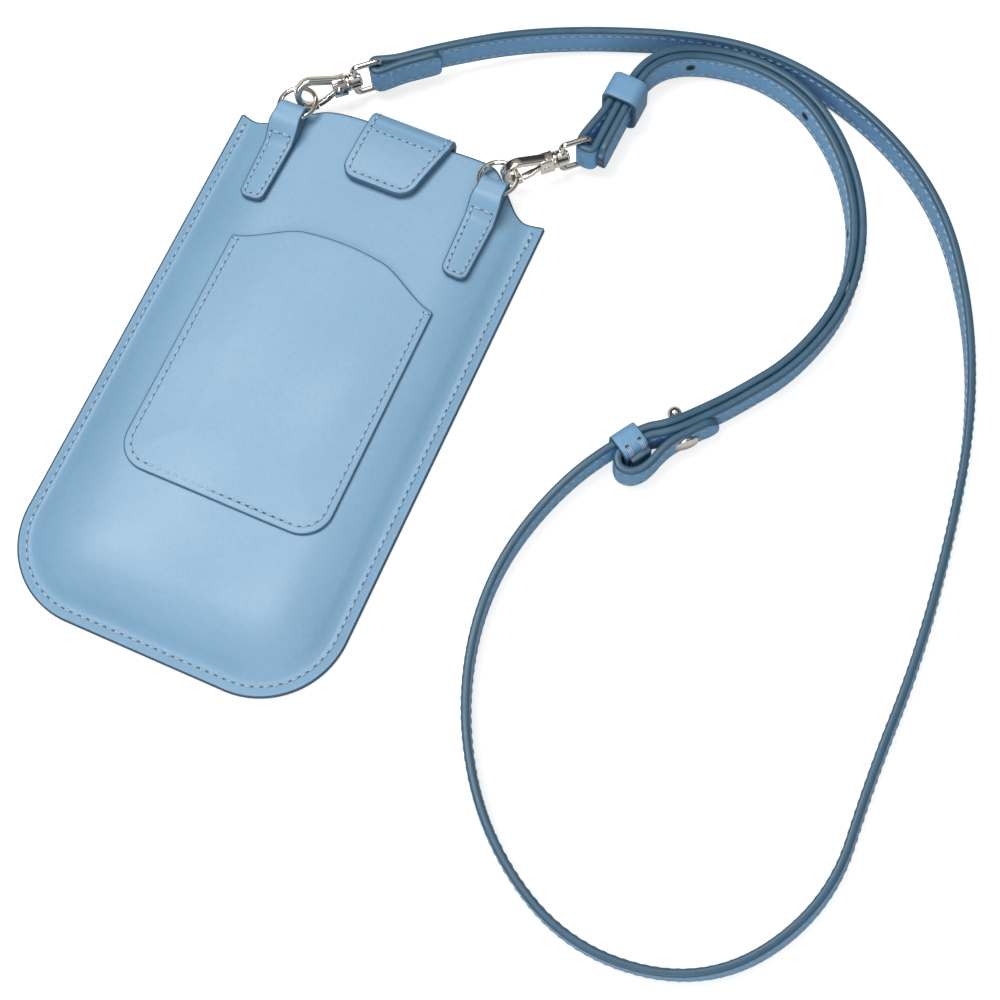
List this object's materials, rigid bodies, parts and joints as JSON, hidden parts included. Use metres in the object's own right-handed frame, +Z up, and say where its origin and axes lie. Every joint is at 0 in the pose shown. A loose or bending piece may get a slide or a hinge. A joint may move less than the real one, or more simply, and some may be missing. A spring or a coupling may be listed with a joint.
{
  "type": "phone pouch with shoulder strap",
  "caption": "Flat leather phone pouch with card pocket, magnetic flap and an adjustable shoulder strap clipped to rings by swivel trigger hooks.",
  "frame": {"origin": "middle of the pouch's flat rear face, half way between the ears of the mouth and the bottom edge", "axes": "+X across the pouch's width, +Y towards the mouth, +Z up from the rear face through the front"},
  "size_m": [0.2694, 0.2887, 0.0187],
  "materials": {
    "pouch_leather": "smooth matt pale blue leather",
    "strap_leather": "fine pebbled mid blue leather",
    "lining": "thin microfibre lining",
    "nickel": "polished nickel",
    "spring_steel": "wire",
    "magnet": "plain disc magnet"
  },
  "bodies": {
    "pouch": {"rear_panel": "pouch_leather", "front_panel": "pouch_leather", "front_lining": "lining", "rear_lining": "lining", "catch_magnet": "magnet", "card_pocket": "pouch_leather", "left_ring_tab": "pouch_leather", "right_ring_tab": "pouch_leather", "flap_tail": "pouch_leather", "flap_fold": "pouch_leather", "long_strap": "strap_leather", "short_strap": "strap_leather", "lower_keeper": "strap_leather", "stud_ball": "nickel", "stud_base": "nickel", "left_eye": "nickel", "right_eye": "nickel"},
    "flap": {"flap_inner": "pouch_leather", "flap_outer": "pouch_leather", "flap_magnet": "magnet"},
    "left_ring": {"left_ring": "nickel"},
    "right_ring": {"right_ring": "nickel"},
    "left_hook": {"left_hook_frame": "nickel", "left_gate_pin": "nickel", "left_gate_spring": "spring_steel"},
    "right_hook": {"right_hook_frame": "nickel", "right_gate_pin": "nickel", "right_gate_spring": "spring_steel"},
    "left_gate": {"left_gate": "nickel"},
    "right_gate": {"right_gate": "nickel"},
    "upper_keeper": {"upper_keeper": "strap_leather"}
  },
  "joints": [
    {"name": "flap_hinge", "type": "hinge", "parent": "pouch", "child": "flap", "pos_m": [0.003, 0.0991, 0.00577], "axis": [-1, 0, 0], "range_deg": [0, 125], "deforming": ["flap_fold"]},
    {"name": "left_ring_swing", "type": "hinge", "parent": "pouch", "child": "left_ring", "pos_m": [-0.036, 0.0889, 0.01135], "axis": [0.989, 0, 0.1478], "range_deg": [-5, 5]},
    {"name": "right_ring_swing", "type": "hinge", "parent": "pouch", "child": "right_ring", "pos_m": [0.036, 0.0889, 0.01135], "axis": [0.9987, 0, 0.0506], "range_deg": [-5, 7]},
    {"name": "left_hook_swivel", "type": "hinge", "parent": "pouch", "child": "left_hook", "pos_m": [-0.0207, 0.1113, 0.0105], "axis": [0.7513, 0.66, 0], "range_deg": [-18, 18]},
    {"name": "right_hook_swivel", "type": "hinge", "parent": "pouch", "child": "right_hook", "pos_m": [0.0533, 0.1113, 0.0105], "axis": [0.749, 0.6626, 0], "range_deg": [-18, 18]},
    {"name": "left_gate_hinge", "type": "hinge", "parent": "left_hook", "child": "left_gate", "pos_m": [-0.02619, 0.10603, 0.00988], "axis": [-0.5795, 0.6596, -0.4787], "range_deg": [0, 15], "stiffness_Nm_per_rad": 0.004},
    {"name": "right_gate_hinge", "type": "hinge", "parent": "right_hook", "child": "right_gate", "pos_m": [0.04765, 0.10622, 0.0098], "axis": [-0.6604, 0.7464, -0.0819], "range_deg": [0, 22], "stiffness_Nm_per_rad": 0.004},
    {"name": "upper_keeper_slide", "type": "slide", "parent": "pouch", "child": "upper_keeper", "axis": [0.0553, 0.9985, 0], "range_m": [-0.002, 0.001]}
  ]
}
